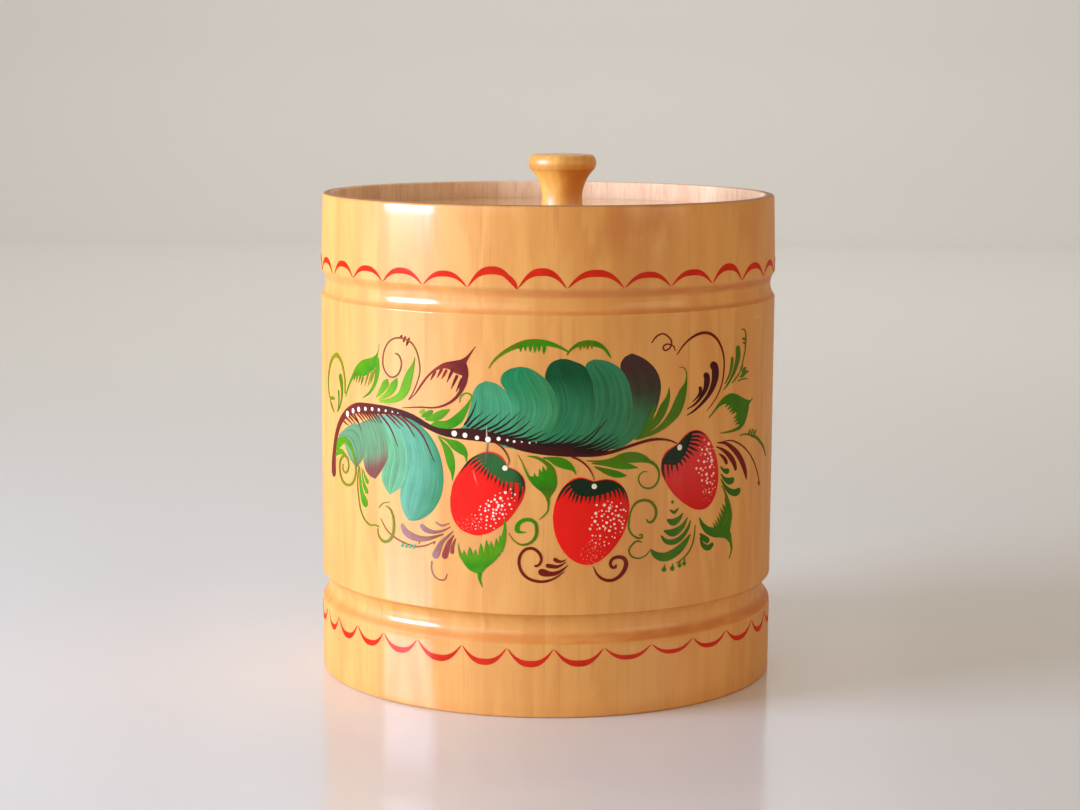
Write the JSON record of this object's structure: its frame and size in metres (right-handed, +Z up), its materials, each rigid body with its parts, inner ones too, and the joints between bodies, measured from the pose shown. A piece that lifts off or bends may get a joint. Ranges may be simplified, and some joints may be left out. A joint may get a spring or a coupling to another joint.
{
  "type": "lidded wooden container",
  "caption": "Round stave-built wooden container, turned and lacquered, with a sunken lift-off lid, a turned knob and a painted berry spray.",
  "frame": {"origin": "middle of the foot, on the surface that the container stands on", "axes": "+Z up along the body's axis, -Y towards the painted front"},
  "size_m": [0.181, 0.181, 0.206],
  "materials": {
    "lacquered_wood": "gloss lacquer",
    "raw_wood": "bare",
    "lid_wood": "satin lacquer",
    "knob_wood": "gloss lacquer"
  },
  "bodies": {
    "container": {"stave_01": "lacquered_wood", "stave_02": "lacquered_wood", "stave_03": "lacquered_wood", "stave_04": "lacquered_wood", "stave_05": "lacquered_wood", "stave_06": "lacquered_wood", "stave_07": "lacquered_wood", "stave_08": "lacquered_wood", "stave_09": "lacquered_wood", "stave_10": "lacquered_wood", "stave_11": "lacquered_wood", "stave_12": "lacquered_wood", "stave_13": "lacquered_wood", "stave_14": "lacquered_wood", "stave_15": "lacquered_wood", "stave_16": "lacquered_wood", "stave_17": "lacquered_wood", "stave_18": "lacquered_wood", "stave_19": "lacquered_wood", "stave_20": "lacquered_wood", "stave_21": "lacquered_wood", "stave_22": "lacquered_wood", "stave_23": "lacquered_wood", "stave_24": "lacquered_wood", "base_board_left": "raw_wood", "base_board_middle": "raw_wood", "base_board_right": "raw_wood"},
    "lid": {"lid_board_front": "lid_wood", "lid_board_middle": "lid_wood", "lid_board_back": "lid_wood", "knob": "knob_wood"}
  },
  "joints": [
    {"name": "lid_lift", "type": "slide", "parent": "container", "child": "lid", "axis": [0, 0, 1], "range_m": [0, 0.15]}
  ]
}
